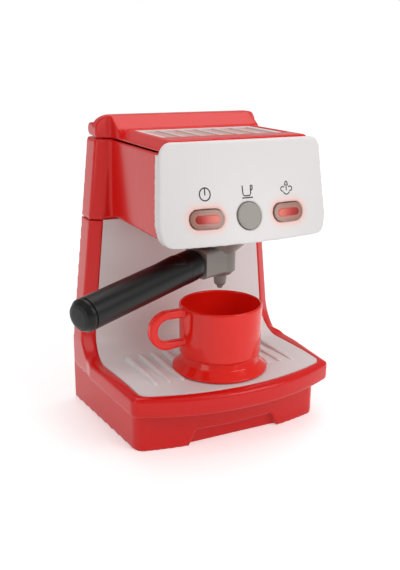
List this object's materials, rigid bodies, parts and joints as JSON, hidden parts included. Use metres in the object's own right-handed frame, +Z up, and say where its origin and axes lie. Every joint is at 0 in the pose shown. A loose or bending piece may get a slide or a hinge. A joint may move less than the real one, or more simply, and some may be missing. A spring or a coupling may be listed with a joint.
{
  "type": "toy coffee maker",
  "caption": "Child's pretend espresso machine with a lifting lid, push buttons, a turning bowl with a handle, and a cup.",
  "frame": {"origin": "middle of the flat underside, on the plane of symmetry of the casing", "axes": "+X to the right as the user faces the front, +Y towards the back, +Z up"},
  "size_m": [0.258, 0.1831, 0.275],
  "materials": {
    "red_casing": "smooth moulded plastic",
    "white_panel": "smooth moulded plastic",
    "base_grey": "fine matt moulding",
    "button_grey": "satin moulded plastic",
    "lens_red": "clear red, lit from behind",
    "part_grey": "satin grey plastic",
    "handle_black": "satin black",
    "cup_red": "smooth moulded plastic",
    "board_green": "solder mask",
    "switch_black": "plain",
    "lamp_clear": "clear resin",
    "cell_jacket": "plain jacket",
    "spring_steel": "plated"
  },
  "bodies": {
    "machine": {"base_shell": "red_casing", "upper_housing": "red_casing", "back_cover": "red_casing", "splash_tray_panel": "white_panel", "front_panel": "white_panel", "bottom_plate": "base_grey", "battery_door": "base_grey", "group_collar": "part_grey", "circuit_board": "board_green", "switches": "switch_black", "lamps": "lamp_clear", "speaker": "switch_black", "batteries": "cell_jacket", "battery_contacts": "spring_steel", "power_button_spring": "spring_steel", "steam_button_spring": "spring_steel", "brew_button_spring": "spring_steel", "bottom_screws": "spring_steel", "door_screw": "spring_steel", "back_screws": "spring_steel", "board_screws": "spring_steel", "collar_screws": "spring_steel"},
    "lid": {"lid_frame": "red_casing", "lid_grille": "white_panel"},
    "power_key": {"power_button": "button_grey", "power_lens": "lens_red"},
    "steam_key": {"steam_button": "button_grey", "steam_lens": "lens_red"},
    "brew_key": {"brew_button": "button_grey"},
    "portafilter": {"portafilter_bowl": "part_grey", "portafilter_spout": "part_grey", "handle_core": "part_grey", "handle_ferrule": "handle_black", "handle_grip": "handle_black", "handle_end_cap": "handle_black"},
    "cup": {"cup_body": "cup_red", "cup_foot": "cup_red"}
  },
  "joints": [
    {"name": "lid_hinge", "type": "hinge", "parent": "machine", "child": "lid", "pos_m": [0, 0.0685, 0.2615], "axis": [-1, 0, 0], "range_deg": [0, 85]},
    {"name": "power_press", "type": "slide", "parent": "machine", "child": "power_key", "axis": [0, 1, 0], "range_m": [0, 0.002], "stiffness_N_per_m": 400, "springref_m": -0.001, "deforming": ["power_button_spring"]},
    {"name": "steam_press", "type": "slide", "parent": "machine", "child": "steam_key", "axis": [0, 1, 0], "range_m": [0, 0.002], "stiffness_N_per_m": 400, "springref_m": -0.001, "deforming": ["steam_button_spring"]},
    {"name": "brew_press", "type": "slide", "parent": "machine", "child": "brew_key", "axis": [0, 1, 0], "range_m": [0, 0.0025], "stiffness_N_per_m": 400, "springref_m": -0.001, "deforming": ["brew_button_spring"]},
    {"name": "portafilter_turn", "type": "hinge", "parent": "machine", "child": "portafilter", "pos_m": [0, -0.0326, 0.17], "axis": [0, 0, 1], "range_deg": [0, 66.5]},
    {"name": "cup_lift", "type": "slide", "parent": "machine", "child": "cup", "axis": [0, -0.9701, 0.2425], "range_m": [0, 0.07]}
  ]
}
